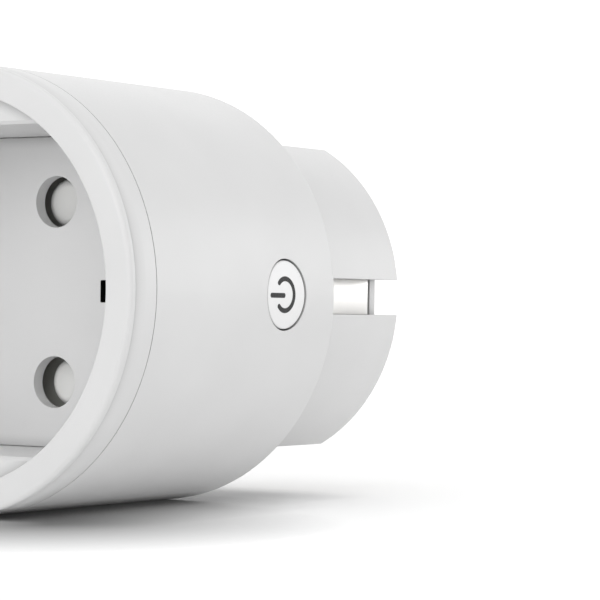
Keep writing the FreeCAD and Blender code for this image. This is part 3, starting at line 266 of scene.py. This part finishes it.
def whitePaper():
    # matt white paper under the plug; painted shadow greys it softly close round the plug and in a soft
    # oval beside the socket end
    material, tree, shader = newMaterial("matt white paper")
    fine = grain(tree, 1.5)
    colour = mixed(tree, fine.outputs[0], paperLook["light"], paperLook["dark"])
    near = addNode(tree, "ShaderNodeAmbientOcclusion", {"Distance": paperLook["reach"] * mm}, samples=8)
    shade = calculate(tree, "POWER", near.outputs["AO"], paperLook["depth"])
    close = spread(tree, shade, paperLook["darkest"], 1.0, 0.0, 1.0)
    where = addNode(tree, "ShaderNodeTexCoord")
    oval = addNode(tree, "ShaderNodeMapping",
                   {"Location": [*(k * mm for k in paperLook["paintedShadow"]), cadLow.z],
                    "Scale": [*(k * mm for k in paperLook["paintedShadowSize"]), 1]},
                   {"Vector": where.outputs["Object"]}, vector_type="TEXTURE")
    middle = addNode(tree, "ShaderNodeTexGradient", links={"Vector": oval.outputs["Vector"]},
                     gradient_type="SPHERICAL")
    paintedShadow = spread(tree, middle.outputs[1], 1.0, 1 - paperLook["paintedShadowDepth"], 0.0, 1.0)
    both = calculate(tree, "MULTIPLY", close, paintedShadow)
    # the painted shadows are shown to camera rays only
    seen = addNode(tree, "ShaderNodeLightPath")  # light that the paper throws back stays as it is
    darkened = addNode(tree, "ShaderNodeMix", links={0: seen.outputs["Is Camera Ray"], 6: colour,
                                                     7: both},
                       data_type="RGBA", blend_type="MULTIPLY")
    tree.links.new(darkened.outputs[2], shader.inputs["Base Color"])
    tree.links.new(darkened.outputs[2], shader.inputs["Emission Color"])
    glow = calculate(tree, "MULTIPLY", seen.outputs["Is Camera Ray"], paperLook["glow"])
    tree.links.new(glow, shader.inputs["Emission Strength"])
    tree.links.new(spread(tree, fine.outputs[0], 0.85, 0.95), shader.inputs["Roughness"])
    shader.inputs["Specular IOR Level"].default_value = 0.0
    return material


slotMaterials = {
    "housing_white": plastic("ABS spark-eroded white"),
    "button_white": plastic("ABS smooth white"),
    # the shutter gets painted light: a near-white colour brightens it behind the socket holes
    "shutter_grey": plastic("polyamide shutter painted lighter"),
    "carrier_grey": plastic("polyamide glass-filled grey"),
    "contact_brass": metal("brass stamped"),
    "earth_steel": metal("nickel-plated steel strip"),
    "finger_nickel": metal("spring steel painted near-black"),
    "pin_nickel": metal("nickel-plated brass"),
    "board_green": circuitBoard(),
    "component_black": plastic("epoxy moulded black"),
    "relay_case": plastic("polybutylene relay blue"),
    "shield_can": metal("tin-plated steel"),
    "led_lens": ledLens(),
    "plunger_black": plastic("acetal moulded black"),
    "spring_steel": metal("spring steel wire"),
    "capacitor_sleeve": plastic("PVC shrink sleeve"),
    "resistor_body": plastic("resistor cement coating"),
    "varistor_blue": plastic("epoxy dipped blue"),
    "screw_zinc": metal("zinc-plated steel"),
}

# the socket floor gets painted light: a lighter white for the floor of the well
nodeMaterials = {"socket_floor": plastic("ABS socket insert painted lighter")}  # nodes that differ from their slot

for part in frame["record"]["subparts"]:
    node = frame["nodes"][part["node"]]
    node.data.materials.clear()
    node.data.materials.append(nodeMaterials.get(part["node"], slotMaterials[part["material_slot"]]))
print("materials on the carried parts")


# ---- geometry helpers ----

noFlat = 1.0  # metres, further out than any surface: a row without a flat
weld = 0.002 * mm  # points closer than this are one


def arc(centre, radius, start, end, steps):
    # points on a circle, angles in degrees, both ends included
    turns = [math.radians(start + (end - start) * k / steps) for k in range(steps + 1)]
    return [(centre[0] + radius * math.cos(a), centre[1] + radius * math.sin(a)) for a in turns]


def lineMesh(name, lines, flats=None):
    # open polylines through points in millimetres, as the base that Geometry Nodes works from
    points, edges = [], []
    for line in lines:
        first = len(points)
        points += [tuple(value * mm for value in (*spot, 0)[:3]) for spot in line]
        edges += [(k, k + 1) for k in range(first, len(points) - 1)]
    mesh = bpy.data.meshes.new(name)
    mesh.from_pydata(points, edges, [])
    level = mesh.attributes.new("flat", "FLOAT", "POINT")
    heights = flats or [None] * len(points)
    level.data.foreach_set("value", [noFlat if height is None else height * mm for height in heights])
    return mesh


def newTree(name, **sockets):
    # geometry node group with a geometry and named inputs; returns tree, inputs and a way to close it
    tree = bpy.data.node_groups.new(name, "GeometryNodeTree")
    tree.interface.new_socket("Geometry", in_out="INPUT", socket_type="NodeSocketGeometry")
    for label, kind in sockets.items():
        tree.interface.new_socket(label, in_out="INPUT", socket_type="NodeSocket" + kind)
    tree.interface.new_socket("Material", in_out="INPUT", socket_type="NodeSocketMaterial")
    tree.interface.new_socket("Geometry", in_out="OUTPUT", socket_type="NodeSocketGeometry")
    return tree, addNode(tree, "NodeGroupInput").outputs


def closeTree(tree, inputs, geometry):
    whole = addNode(tree, "GeometryNodeRealizeInstances", links={"Geometry": geometry})
    painted = addNode(tree, "GeometryNodeSetMaterial",
                      links={"Geometry": whole.outputs["Geometry"], "Material": inputs["Material"]})
    addNode(tree, "NodeGroupOutput", links={0: painted.outputs["Geometry"]})
    return tree


def finished(name, mesh, steps, material, sharp=28):
    # runs the node groups over the base mesh and keeps the result as a plain, smooth-shaded mesh
    source = bpy.data.objects.new(name + "_base", mesh)
    bpy.context.scene.collection.objects.link(source)
    for tree, values in steps:
        modifier = source.modifiers.new(tree.name, "NODES")
        modifier.node_group = tree
        for item in tree.interface.items_tree:
            if item.in_out == "INPUT" and item.name in values:
                modifier[item.identifier] = values[item.name]
            elif item.in_out == "INPUT" and item.name == "Material":
                modifier[item.identifier] = material
    bpy.context.view_layer.update()
    ready = source.evaluated_get(bpy.context.evaluated_depsgraph_get())
    result = bpy.data.meshes.new_from_object(ready)
    bpy.data.objects.remove(source)
    body = bmesh.new()
    body.from_mesh(result)
    bmesh.ops.recalc_face_normals(body, faces=body.faces)
    body.to_mesh(result)
    body.free()
    result.shade_smooth()
    result.set_sharp_from_angle(angle=math.radians(sharp))
    result.name = name
    if not result.materials:
        result.materials.append(material)
    piece = bpy.data.objects.new(name, result)
    bpy.context.scene.collection.objects.link(piece)
    print("made", name, len(result.polygons), "faces")
    return piece


def turnedTree():
    # turns the base profile (x is the radius, y the place along the axis) about Y; a row with a flat
    # level is cut off at that height above and below
    tree, inputs = newTree("turned", Columns="Int", Closed="Int", Place="Vector")
    rows = addNode(tree, "GeometryNodeAttributeDomainSize", links={"Geometry": inputs["Geometry"]})
    count = rows.outputs["Point Count"]
    across = calculate(tree, "ADD", inputs["Columns"], 1)
    down = calculate(tree, "ADD", count, inputs["Closed"])
    grid = addNode(tree, "GeometryNodeMeshGrid", links={"Vertices X": across, "Vertices Y": down})
    index = addNode(tree, "GeometryNodeInputIndex").outputs["Index"]
    column = calculate(tree, "FLOOR", calculate(tree, "DIVIDE", calculate(tree, "ADD", index, 0.5), down))
    row = calculate(tree, "SUBTRACT", index, calculate(tree, "MULTIPLY", column, down))
    spot = calculate(tree, "MODULO", row, count)
    where = addNode(tree, "GeometryNodeSampleIndex",
                    links={"Geometry": inputs["Geometry"], "Index": spot,
                           "Value": addNode(tree, "GeometryNodeInputPosition").outputs["Position"]},
                    data_type="FLOAT_VECTOR")
    level = addNode(tree, "GeometryNodeInputNamedAttribute", {"Name": "flat"}, data_type="FLOAT")
    flat = addNode(tree, "GeometryNodeSampleIndex",
                   links={"Geometry": inputs["Geometry"], "Index": spot,
                          "Value": level.outputs["Attribute"]},
                   data_type="FLOAT")
    profile = addNode(tree, "ShaderNodeSeparateXYZ", links={"Vector": where.outputs["Value"]}).outputs
    angle = calculate(tree, "MULTIPLY", calculate(tree, "DIVIDE", column, inputs["Columns"]), math.tau)
    sine, cosine = calculate(tree, "SINE", angle), calculate(tree, "COSINE", angle)
    rise = calculate(tree, "MAXIMUM", calculate(tree, "ABSOLUTE", sine), 0.0001)
    limit = calculate(tree, "DIVIDE", flat.outputs["Value"], rise)
    radius = calculate(tree, "MINIMUM", profile["X"], limit)
    point = addNode(tree, "ShaderNodeCombineXYZ",
                    links={"X": calculate(tree, "MULTIPLY", radius, cosine), "Y": profile["Y"],
                           "Z": calculate(tree, "MULTIPLY", radius, sine)})
    placed = addNode(tree, "ShaderNodeVectorMath", links={0: point.outputs["Vector"], 1: inputs["Place"]},
                     operation="ADD")
    shaped = addNode(tree, "GeometryNodeSetPosition",
                     links={"Geometry": grid.outputs["Mesh"], "Position": placed.outputs["Vector"]})
    joined = addNode(tree, "GeometryNodeMergeByDistance", {"Distance": weld},
                     {"Geometry": shaped.outputs["Geometry"]})
    return closeTree(tree, inputs, joined.outputs["Geometry"])


turned = turnedTree()


# ---- front cover ----

coverSizes = {
    "columns": 320,
    "mouth": 19.75, "mouthRound": 0.14,  # socket well
    "edgeRound": 0.5,  # outer front edge
    "groove": (0.85, 2.6, 0.42),  # shadow groove: start, end, depth
    "crest": 0.05,  # round of its lip
    "drop": 0.08, "runOut": 1.5,  # length of its steep side, curve of the rest
    "seam": 4.28, "seamRound": 0.04,
    "spigot": 21.15, "spigotEnd": 7.55, "wellOuter": 20.95,
    "flat": 16.4, "setback": 1.0, "bevel": 0.35,  # guide flats
    "slot": (18.9, 20.45, 2.4, 1.4),  # finger slots: inside, outside, start, half width
}


def coverProfile(size, radius, depth):
    # closed outline of the ring, groove, spigot and well wall, from the mouth edge round to it again
    mouth, small = size["mouth"], size["mouthRound"]
    start, end, deep = size["groove"]
    lip = size["crest"]
    rows = [(*spot, None) for spot in arc((mouth + small, small), small, 180, 270, 4)]
    turn = size["edgeRound"]
    rows += [(*spot, None) for spot in arc((radius - turn, turn), turn, -90, 0, 8)]
    rows += [(*spot, None) for spot in arc((radius - lip, start - lip), lip, 0, 62, 3)]
    fall = 10
    for k in range(fall + 1):  # the groove drops at once and runs out slowly
        along = k / fall
        depthHere = deep * (1 - along) ** size["runOut"]
        rows.append((radius - depthHere, start + size["drop"] + (end - start - size["drop"]) * along, None))
    edge = size["seamRound"]
    rows += [(*spot, None) for spot in arc((radius - edge, size["seam"] - edge), edge, 0, 90, 3)]
    rows += [(size["spigot"], size["seam"], None), (size["spigot"], size["spigotEnd"], None),
             (size["wellOuter"], size["spigotEnd"], None), (size["wellOuter"], depth, None)]
    front = size["setback"]
    rows += [(mouth, depth, size["flat"]), (mouth, front + size["bevel"], size["flat"]),
             (mouth, front, size["flat"] + size["bevel"]), (mouth, front, None)]
    return rows


def slotTree():
    # cuts a box out on either side of the axis
    tree, inputs = newTree("slotted", Size="Vector", Right="Vector", Left="Vector")
    blocks = addNode(tree, "GeometryNodeMeshCube", links={"Size": inputs["Size"]})
    pair = addNode(tree, "GeometryNodeJoinGeometry")
    for side in ("Right", "Left"):
        moved = addNode(tree, "GeometryNodeTransform",
                        links={"Geometry": blocks.outputs["Mesh"], "Translation": inputs[side]})
        tree.links.new(moved.outputs["Geometry"], pair.inputs["Geometry"])
    cut = addNode(tree, "GeometryNodeMeshBoolean",
                  links={"Mesh 1": inputs["Geometry"], "Mesh 2": pair.outputs["Geometry"]},
                  operation="DIFFERENCE", solver="EXACT")
    return closeTree(tree, inputs, cut.outputs["Mesh"])


def frontCover():
    size = coverSizes
    low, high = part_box("front_cover")
    rows = coverProfile(size, high.x / mm, (high.y - low.y) / mm)
    base = lineMesh("cover_profile", [[row[:2] for row in rows]], [row[2] for row in rows])
    inner, outer, start, half = size["slot"]
    past = 1.0  # the slots run out of the back
    length = (high.y - low.y) / mm - start + past
    middle = low.y / mm + start + length / 2
    across = (inner + outer) / 2
    steps = [
        (turned, {"Columns": size["columns"], "Closed": 1, "Place": (0, low.y, 0)}),
        (slotTree(), {"Size": Vector((outer - inner, length, 2 * half)) * mm,
                      "Right": Vector((across, middle, 0)) * mm,
                      "Left": Vector((-across, middle, 0)) * mm}),
    ]
    cover = finished("cover_ring", base, steps, slotMaterials["housing_white"])
    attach(cover, "housing")
    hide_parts("front_cover")


frontCover()


# ---- plug pins ----

pinSizes = {
    "columns": 96,
    "radius": 2.4, "shank": 2.65, "flange": 3.6, "tail": 1.15,
    "wall": 2.0, "flangeThick": 1.4,  # end wall of the boss and the flange behind it
    "tipRound": 1.92, "edge": 0.12,
}


def plugPin(node):
    size = pinSizes
    low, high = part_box(node)
    start, end = low.y / mm, high.y / mm
    edge, tip = size["edge"], size["tipRound"]
    back = -size["wall"] - size["flangeThick"]
    outline = [(0, start), (size["tail"] - edge, start), (size["tail"], start + edge), (size["tail"], back),
               (size["flange"] - edge, back), (size["flange"], back + edge),
               (size["flange"], -size["wall"] - edge), (size["flange"] - edge, -size["wall"]),
               (size["shank"], -size["wall"])]
    outline += arc((size["shank"] - edge, -edge), edge, 0, 90, 3)
    outline += [(size["radius"], 0)]
    outline += arc((size["radius"] - tip, end - tip), tip, 0, 90, 14)
    outline += [(0, end)]
    base = lineMesh("pin_profile", [outline])
    place = Vector((0, 0, (low.z + high.z) / 2))
    steps = [(turned, {"Columns": size["columns"], "Closed": 0, "Place": place})]
    pin = finished(node + "_turned", base, steps, slotMaterials["pin_nickel"])
    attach(pin, "housing")
    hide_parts(node)


for node in ("live_pin", "neutral_pin"):
    plugPin(node)


# ---- earth spring fingers ----

fingerSizes = {
    "thick": 0.5, "edge": 0.1,
    "outer": 20.3, "tip": 18.6,  # straight part and free end, outer side from the axis
    "nose": 5.1, "noseRound": 0.9,  # depth of the bulge behind the front, and its bend
    "noseReach": 0.28,  # how far the bend's corner stands past the bulge, because rounding cuts it short
    "bend": 11.1,  # depth of the first bend behind the front
}


def stripTree():
    # sweeps a rounded rectangle along the base line, which is bent smoothly at its corners
    tree, inputs = newTree("swept", Thick="Float", Wide="Float", Edge="Float", Bend="Float")
    line = addNode(tree, "GeometryNodeMeshToCurve", links={"Mesh": inputs["Geometry"]})
    bent = addNode(tree, "GeometryNodeFilletCurve", {"Count": 8},
                   {"Curve": line.outputs["Curve"], "Radius": inputs["Bend"]}, mode="POLY")
    level = addNode(tree, "GeometryNodeSetCurveNormal", links={"Curve": bent.outputs["Curve"]})
    outline = addNode(tree, "GeometryNodeCurvePrimitiveQuadrilateral",
                      links={"Width": inputs["Thick"], "Height": inputs["Wide"]})
    soft = addNode(tree, "GeometryNodeFilletCurve", {"Count": 3},
                   {"Curve": outline.outputs["Curve"], "Radius": inputs["Edge"]}, mode="POLY")
    swept = addNode(tree, "GeometryNodeCurveToMesh", {"Fill Caps": True},
                    {"Curve": level.outputs["Curve"], "Profile Curve": soft.outputs["Curve"]})
    return closeTree(tree, inputs, swept.outputs["Mesh"])


swept = stripTree()


def springFinger(node):
    size = fingerSizes
    low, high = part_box(node)
    side = 1 if high.x > 0 else -1
    reach = max(abs(low.x), abs(high.x)) / mm
    nose = min(abs(low.x), abs(high.x)) / mm
    half = size["thick"] / 2
    front, back = cadLow.y / mm, high.y / mm
    outer = reach - half
    path = [(side * outer, back), (side * outer, front + size["bend"]),
            (side * (nose + half - size["noseReach"]), front + size["nose"]),
            (side * (size["tip"] - half), low.y / mm + size["edge"])]
    base = lineMesh("finger_line", [path])
    steps = [(swept, {"Thick": size["thick"] * mm, "Wide": high.z - low.z, "Edge": size["edge"] * mm,
                      "Bend": size["noseRound"] * mm})]
    finger = finished(node + "_strip", base, steps, slotMaterials["finger_nickel"])
    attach(finger, "housing")
    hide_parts(node)


for node in ("earth_clip_right", "earth_clip_left"):
    springFinger(node)


# ---- earth strips in the side grooves ----

stripSizes = {"half": 1.965, "edge": 0.06}  # half width, just inside the groove, and edge rounding


def earthStrip(node):
    size = stripSizes
    low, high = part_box(node)
    middle = (low.x + high.x) / 2 / mm
    base = lineMesh("strip_line", [[(middle, low.y / mm), (middle, high.y / mm)]])
    steps = [(swept, {"Thick": high.x - low.x, "Wide": 2 * size["half"] * mm, "Edge": size["edge"] * mm,
                      "Bend": 0.0})]
    strip = finished(node + "_plate", base, steps, slotMaterials["earth_steel"])
    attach(strip, "housing")
    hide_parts(node)


for node in ("earth_strip_right", "earth_strip_left"):
    earthStrip(node)


# ---- power symbol on the button ----

symbolSizes = {
    "stroke": 0.50, "thick": 0.02,
    "ring": 1.66, "gap": 38,  # ring radius and half of its opening towards the front, degrees
    "ringPlace": -0.2,  # ring centre along the plug, from the button's middle
    "bar": (-3.0, -0.2), "barPlace": -0.08,  # ends of the bar along the plug, and its height
    "step": 0.04,  # length of the pieces that a line is cut into
    "faceInset": 0.08,  # button face below the body surface
}


def printedTree():
    # gives the base lines an even stroke with round ends and lays it on the button's curved face
    tree, inputs = newTree("printed", Stroke="Float", Thick="Float", Radius="Float", Step="Float")
    line = addNode(tree, "GeometryNodeMeshToCurve", links={"Mesh": inputs["Geometry"]})
    fine = addNode(tree, "GeometryNodeResampleCurve",
                   links={"Curve": line.outputs["Curve"], "Length": inputs["Step"]}, mode="LENGTH")
    along = addNode(tree, "GeometryNodeSplineParameter").outputs["Length"]
    total = addNode(tree, "GeometryNodeSplineLength").outputs["Length"]
    half = calculate(tree, "MULTIPLY", inputs["Stroke"], 0.5)
    toEnd = calculate(tree, "MINIMUM", along, calculate(tree, "SUBTRACT", total, along))
    share = calculate(tree, "MINIMUM", calculate(tree, "DIVIDE", toEnd, half), 1.0)
    inside = calculate(tree, "SUBTRACT", 1.0, share)
    square = calculate(tree, "MULTIPLY", inside, inside)
    shape = calculate(tree, "SQRT", calculate(tree, "SUBTRACT", 1.0, square))
    level = addNode(tree, "GeometryNodeSetCurveNormal", links={"Curve": fine.outputs["Curve"]})
    width = calculate(tree, "MULTIPLY", half, shape)
    wide = addNode(tree, "GeometryNodeSetCurveRadius",
                   links={"Curve": level.outputs["Curve"], "Radius": width})
    section = addNode(tree, "GeometryNodeCurvePrimitiveLine", {"Start": (-1, 0, 0), "End": (1, 0, 0)})
    radius = addNode(tree, "GeometryNodeInputNamedAttribute", {"Name": "radius"}, data_type="FLOAT")
    ribbon = addNode(tree, "GeometryNodeCurveToMesh",
                     links={"Curve": wide.outputs["Curve"], "Profile Curve": section.outputs["Curve"],
                            "Scale": radius.outputs["Attribute"]})
    raised = addNode(tree, "GeometryNodeExtrudeMesh", {"Individual": False, "Offset": (0, 0, 1)},
                     {"Mesh": ribbon.outputs["Mesh"], "Offset Scale": inputs["Thick"]}, mode="FACES")
    under = addNode(tree, "GeometryNodeJoinGeometry")
    for source in (raised.outputs["Mesh"], ribbon.outputs["Mesh"]):
        tree.links.new(source, under.inputs["Geometry"])
    closed = addNode(tree, "GeometryNodeMergeByDistance", {"Distance": weld},
                     {"Geometry": under.outputs["Geometry"]})
    flat = addNode(tree, "ShaderNodeSeparateXYZ",
                   links={"Vector": addNode(tree, "GeometryNodeInputPosition").outputs["Position"]}).outputs
    out = calculate(tree, "ADD", inputs["Radius"], flat["Z"])
    reach = calculate(tree, "SUBTRACT", calculate(tree, "MULTIPLY", out, out),
                      calculate(tree, "MULTIPLY", flat["Y"], flat["Y"]))
    point = addNode(tree, "ShaderNodeCombineXYZ",
                    links={"X": calculate(tree, "SQRT", reach), "Y": flat["X"], "Z": flat["Y"]})
    wrapped = addNode(tree, "GeometryNodeSetPosition",
                      links={"Geometry": closed.outputs["Geometry"], "Position": point.outputs["Vector"]})
    return closeTree(tree, inputs, wrapped.outputs["Geometry"])


def powerSymbol():
    size = symbolSizes
    low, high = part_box("power_button")
    middle = (low.y + high.y) / 2 / mm
    face = cadHigh.x / mm - size["faceInset"]
    ring = arc((middle + size["ringPlace"], 0), size["ring"], -180 + size["gap"], 180 - size["gap"], 48)
    bar = [(middle + end, size["barPlace"]) for end in size["bar"]]
    base = lineMesh("symbol_lines", [ring, bar])
    steps = [(printedTree(), {"Stroke": size["stroke"] * mm, "Thick": size["thick"] * mm,
                              "Radius": face * mm, "Step": size["step"] * mm})]
    symbol = finished("power_symbol", base, steps, plastic("ink pad-printed black"), 60)
    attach(symbol, "button")


powerSymbol()
print("pieces")


# ---- stage, light and camera ----

stageSizes = {"floor": 6.0}  # side of the paper floor, metres


def paperFloor():
    half = stageSizes["floor"] / 2
    points = [(x * half, y * half, cadLow.z) for x, y in ((-1, -1), (1, -1), (1, 1), (-1, 1))]
    mesh = bpy.data.meshes.new("paper_floor")
    mesh.from_pydata(points, [], [(0, 1, 2, 3)])
    mesh.materials.append(whitePaper())
    floor = bpy.data.objects.new("paper_floor", mesh)
    bpy.context.scene.collection.objects.link(floor)


cameraView = {
    "azimuth": 32.711, "elevation": -0.246, "roll": 0.759,  # degrees
    "lens": 160.62,  # millimetres, on a 36 mm sensor
    "place": (174.09, -261.74, -1.72),  # millimetres
}


studio = {
    # name: side of the light as the camera sees it (right, away, up), brightness,
    # degrees of full light and of no light round it
    "overhead": ((0, 0, 1), 0.46, 20, 45),
    "front": ((0, -1, 0.1), 0.76, 20, 45),
    "front_left": ((-0.6, -0.8, 0.1), 0.60, 20, 45),
    "right": ((0.91, 0.41, 0.08), 1.30, 12, 24),
    "backdrop": ((0, 1, 0.1), 0.42, 20, 45),
}
roomLevel = 0.76  # brightness of the white room away from them


def addStudio():
    # a white room with soft patches of light on its walls and ceiling; there are no lamps
    world = bpy.data.worlds.new("white_room")
    world.use_nodes = True
    tree = world.node_tree
    where = addNode(tree, "ShaderNodeTexCoord")
    aside = Matrix.Rotation(math.radians(cameraView["azimuth"]), 3, "Z")
    total = None
    for side, level, full, none in studio.values():
        towards = aside @ Vector(side).normalized()
        facing = addNode(tree, "ShaderNodeVectorMath", {1: towards}, {0: where.outputs["Generated"]},
                         operation="DOT_PRODUCT")
        patch = addNode(tree, "ShaderNodeMapRange",
                        {"From Min": math.cos(math.radians(none)), "From Max": math.cos(math.radians(full)),
                         "To Min": 0.0, "To Max": level},
                        {"Value": facing.outputs["Value"]}, interpolation_type="SMOOTHSTEP")
        before = {0: total} if total else {}
        total = addNode(tree, "ShaderNodeMath", {} if total else {0: roomLevel},
                        {**before, 1: patch.outputs["Result"]}).outputs["Value"]
    tree.links.new(total, tree.nodes["Background"].inputs["Strength"])
    tree.nodes["Background"].inputs["Color"].default_value = (1, 1, 1, 1)
    bpy.context.scene.world = world


def addCamera():
    data = bpy.data.cameras.new("camera")
    data.lens = cameraView["lens"]
    data.sensor_width = 36.0
    camera = bpy.data.objects.new("camera", data)
    around, above = math.radians(cameraView["azimuth"]), math.radians(cameraView["elevation"])
    level = math.cos(above)
    back = Vector((math.sin(around) * level, -math.cos(around) * level, math.sin(above)))
    right = Vector((0, 0, 1)).cross(back).normalized()
    turn = Matrix((right, back.cross(right), back)).transposed() @ Matrix.Rotation(
        math.radians(cameraView["roll"]), 3, "Z")
    camera.matrix_world = Matrix.Translation(Vector(cameraView["place"]) * mm) @ turn.to_4x4()
    bpy.context.scene.collection.objects.link(camera)
    bpy.context.scene.camera = camera


paperFloor()
addStudio()
addCamera()
bpy.context.scene.view_settings.view_transform = "Standard"
print("stage, lights and camera")
